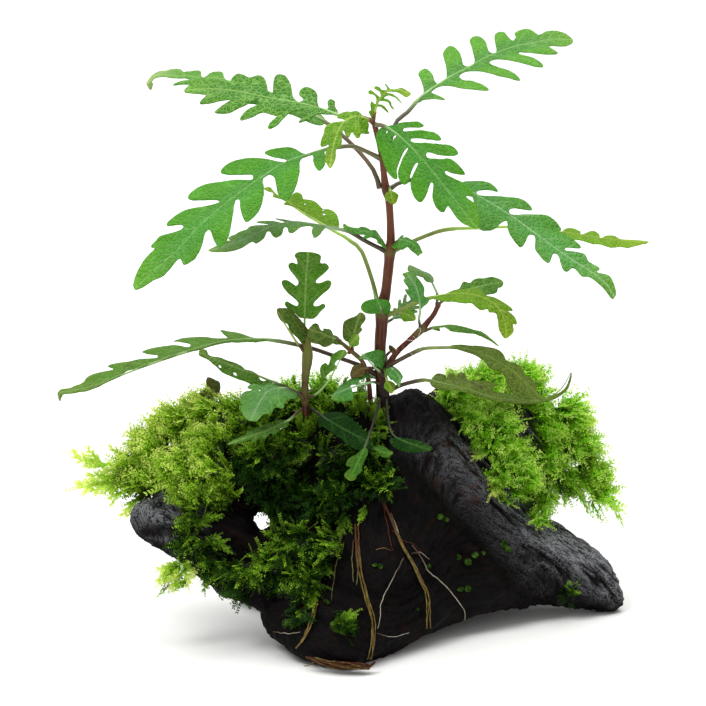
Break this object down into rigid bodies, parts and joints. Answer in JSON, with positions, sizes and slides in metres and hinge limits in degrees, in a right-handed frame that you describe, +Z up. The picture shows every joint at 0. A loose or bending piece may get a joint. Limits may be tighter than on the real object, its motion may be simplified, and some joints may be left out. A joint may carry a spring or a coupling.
{
  "type": "hygrophila pinnatifida on driftwood",
  "caption": "Aquarium plant with lobed feathery leaves on upright stems, rooted with cushions of moss on a forked piece of dark driftwood.",
  "frame": {"origin": "on the floor below the middle of the object's box", "axes": "+Z up, -Y towards the viewer of the picture, +X to the viewer's right"},
  "size_m": [0.2041, 0.1129, 0.2026],
  "materials": {
    "driftwood": "waterlogged, near black, finely grained",
    "stem": "smooth red-brown skin, green near the tops",
    "leaf": "soft satin leaf surface, a little translucent",
    "moss": "matt feathery fronds",
    "root": "fibrous and matt"
  },
  "bodies": {
    "root": {"driftwood_body": "driftwood", "driftwood_left_limb": "driftwood", "driftwood_rear_knob": "driftwood", "driftwood_right_arm": "driftwood", "driftwood_upper_left_bough": "driftwood", "leaf_arched_narrow": "leaf", "leaf_base_front": "leaf", "leaf_base_left": "leaf", "leaf_base_right": "leaf", "leaf_front": "leaf", "leaf_left_large": "leaf", "leaf_left_middle": "leaf", "leaf_left_rear": "leaf", "leaf_left_top_front": "leaf", "leaf_left_top_rear": "leaf", "leaf_long_low": "leaf", "leaf_low_bright": "leaf", "leaf_low_centre": "leaf", "leaf_low_dark_left": "leaf", "leaf_low_left_a": "leaf", "leaf_low_left_b": "leaf", "leaf_low_right": "leaf", "leaf_node_left": "leaf", "leaf_node_right": "leaf", "leaf_node_round": "leaf", "leaf_oak_left": "leaf", "leaf_oak_upright": "leaf", "leaf_over_moss": "leaf", "leaf_right_dark": "leaf", "leaf_right_drooping": "leaf", "leaf_right_large": "leaf", "leaf_right_middle": "leaf", "leaf_right_top": "leaf", "leaf_shoot_dark": "leaf", "leaf_shoot_glaucous": "leaf", "leaf_shoot_grey": "leaf", "leaf_shoot_upright": "leaf", "leaf_small_fern": "leaf", "leaf_tip_up": "leaf", "leaf_young_left": "leaf", "leaf_young_top": "leaf", "moss_centre": "moss", "moss_hanging_tuft": "moss", "moss_left": "moss", "moss_lower": "moss", "moss_right": "moss", "moss_right_rear": "moss", "moss_sprig_front": "moss", "moss_sprig_middle": "moss", "moss_sprig_right": "moss", "root_bottom_tuft": "root", "root_front_long": "root", "root_low_left": "root", "root_middle": "root", "root_thin_left": "root", "root_thin_right": "root", "stem_main": "stem", "stem_second": "stem", "stem_side": "stem", "stem_third": "stem"}
  },
  "joints": []
}
